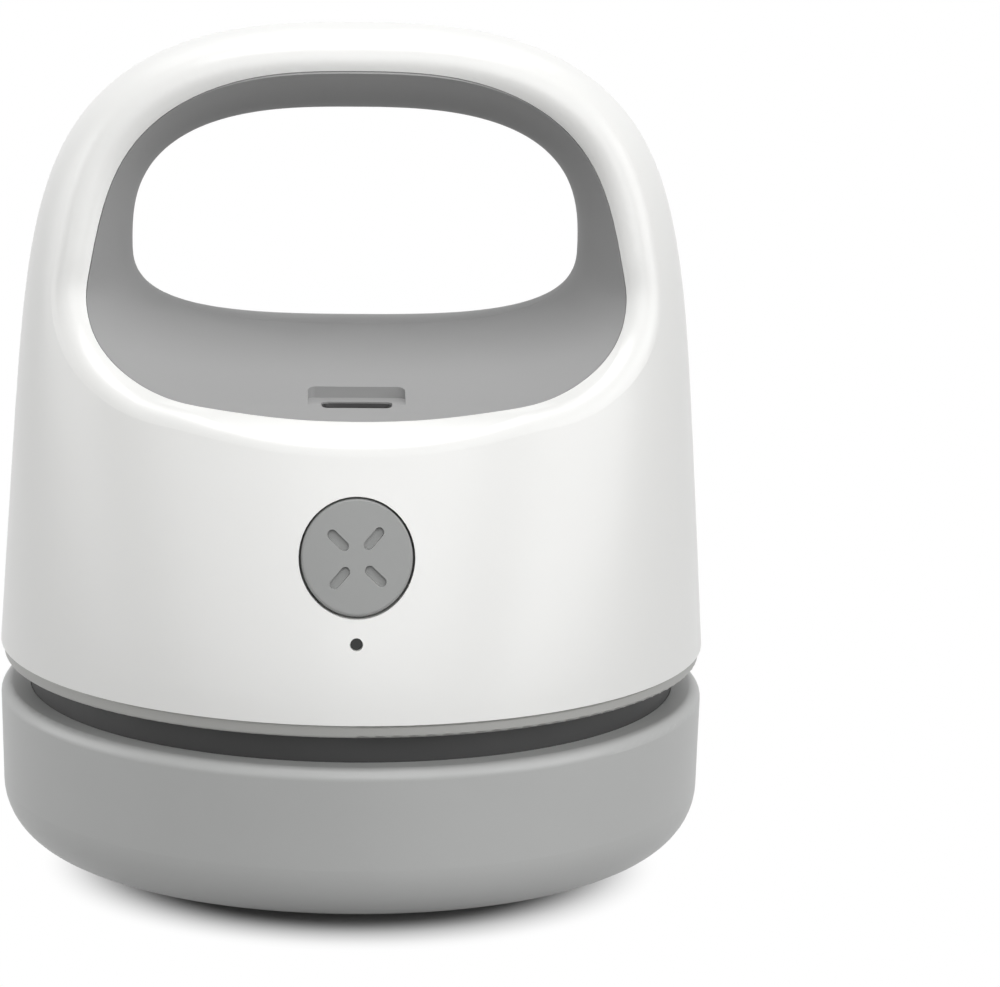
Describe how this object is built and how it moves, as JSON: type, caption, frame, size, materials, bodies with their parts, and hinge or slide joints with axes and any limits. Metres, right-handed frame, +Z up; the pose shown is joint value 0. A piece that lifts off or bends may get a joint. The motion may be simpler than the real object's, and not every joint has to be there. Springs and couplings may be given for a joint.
{
  "type": "desktop mini vacuum cleaner",
  "caption": "Small bag-shaped desk vacuum cleaner with a hand hole through its dome, a push button, a charging recess and a lift-off dust cup on short bristles.",
  "frame": {"origin": "middle of the footprint, on the surface that the bristle tips stand on", "axes": "+Z up, -Y towards the front with the power button, +X to the right for someone who looks at the button"},
  "size_m": [0.095, 0.095, 0.1129],
  "materials": {
    "white_shell": "gloss",
    "grey_lining": "satin",
    "grey_cup": "satin",
    "grey_ring": "satin",
    "grey_button": "satin",
    "dark_chassis": "matte",
    "smoked_light_pipe": "gloss",
    "black_bristles": "matte",
    "filter_paper": "matte",
    "filter_plastic": "matte",
    "soft_seal": "matte",
    "board_laminate": "satin",
    "black_component": "matte",
    "cell_foil": "satin",
    "foam_tape": "matte",
    "zinc_steel": "satin",
    "nickel_steel": "gloss",
    "bearing_bronze": "satin",
    "magnet_ferrite": "matte",
    "wire_insulation": "satin",
    "fan_plastic": "satin"
  },
  "bodies": {
    "dust_cup_body": {"dust_cup": "grey_cup", "brush_plate": "dark_chassis", "bristle_tufts": "black_bristles", "brush_plate_screws": "zinc_steel"},
    "filter_cassette": {"filter_frame": "filter_plastic", "filter_mesh": "filter_plastic", "filter_element": "filter_paper", "seal_ring": "soft_seal"},
    "fan": {"impeller": "fan_plastic", "motor_shaft": "nickel_steel", "motor_armature": "zinc_steel"},
    "button": {"power_button": "grey_button"},
    "plunger": {"switch_plunger": "black_component"},
    "upper_unit": {"outer_shell": "white_shell", "handle_liner_front": "grey_lining", "handle_liner_rear": "grey_lining", "trim_ring": "grey_ring", "chassis": "dark_chassis", "chassis_screws": "zinc_steel", "fan_cover": "fan_plastic", "fan_cover_screws": "zinc_steel", "motor_can": "nickel_steel", "motor_screws": "zinc_steel", "motor_bushes": "bearing_bronze", "motor_end_cap": "black_component", "motor_terminals": "bearing_bronze", "motor_magnets": "magnet_ferrite", "motor_damper": "soft_seal", "battery_pad": "foam_tape", "battery_cell": "cell_foil", "main_board": "board_laminate", "switch_body": "black_component", "lamp_chip": "fan_plastic", "light_pipe": "smoked_light_pipe", "board_parts": "black_component", "usb_receptacle": "nickel_steel", "usb_tongue": "black_component", "motor_leads": "wire_insulation", "cell_leads": "wire_insulation"}
  },
  "joints": [
    {"name": "filter_lift", "type": "slide", "parent": "dust_cup_body", "child": "filter_cassette", "axis": [0, 0, 1], "range_m": [0, 0.03]},
    {"name": "unit_lift", "type": "slide", "parent": "filter_cassette", "child": "upper_unit", "axis": [0, 0, 1], "range_m": [0, 0.06]},
    {"name": "fan_spin", "type": "hinge", "parent": "upper_unit", "child": "fan", "pos_m": [0, 0, 0.03], "axis": [0, 0, 1], "continuous": true},
    {"name": "power_press", "type": "slide", "parent": "upper_unit", "child": "button", "axis": [0, 1, 0], "range_m": [0, 0.0005], "stiffness_N_per_m": 1500},
    {"name": "plunger_press", "type": "slide", "parent": "upper_unit", "child": "plunger", "axis": [0, 1, 0], "range_m": [0, 0.0005]}
  ],
  "couplings": [
    {"joint": "plunger_press", "follows": "power_press", "ratio": 1}
  ]
}
